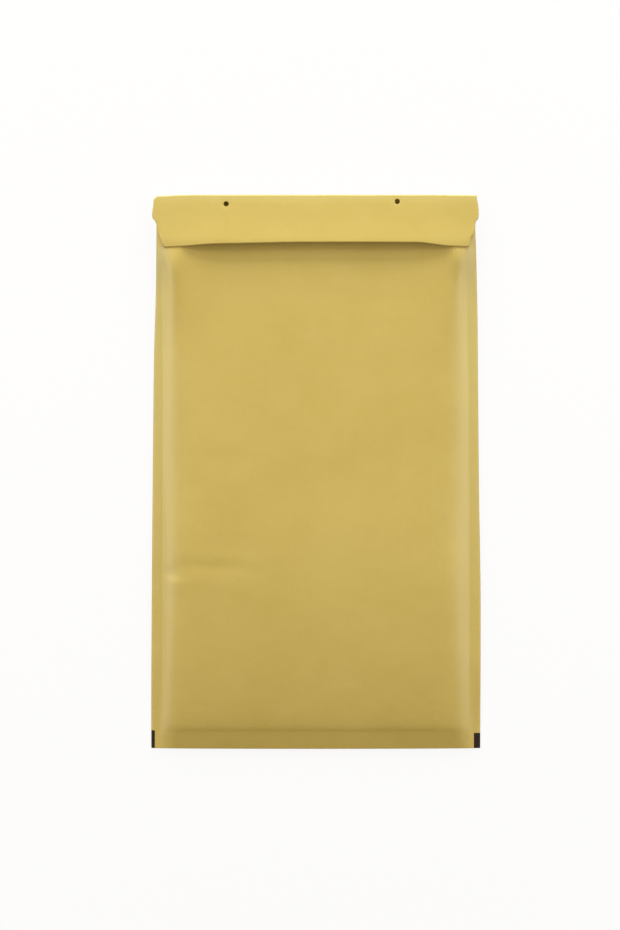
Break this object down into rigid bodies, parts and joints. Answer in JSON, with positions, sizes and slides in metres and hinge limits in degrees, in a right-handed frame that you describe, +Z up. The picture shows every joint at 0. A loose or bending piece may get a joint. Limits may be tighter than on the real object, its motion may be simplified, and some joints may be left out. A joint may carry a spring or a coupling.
{
  "type": "padded envelope",
  "caption": "Kraft paper padded envelope lying flat, bubble film lining inside, flap folded over the front but not sealed, peel-off closing strip under the flap.",
  "frame": {"origin": "middle of the envelope's outline, on the floor that its back lies on", "axes": "+X across the envelope, +Y along it towards the top fold, +Z up out of the front"},
  "size_m": [0.216, 0.363, 0.0167],
  "materials": {
    "kraft_paper": "matte golden kraft paper",
    "bubble_film": "clear soft bubble film",
    "flap_glue": "tacky glue film",
    "release_paper": "smooth coated white paper"
  },
  "bodies": {
    "root": {"kraft_cover": "kraft_paper", "bubble_lining": "bubble_film", "flap_adhesive": "flap_glue", "release_liner": "release_paper"}
  },
  "joints": []
}
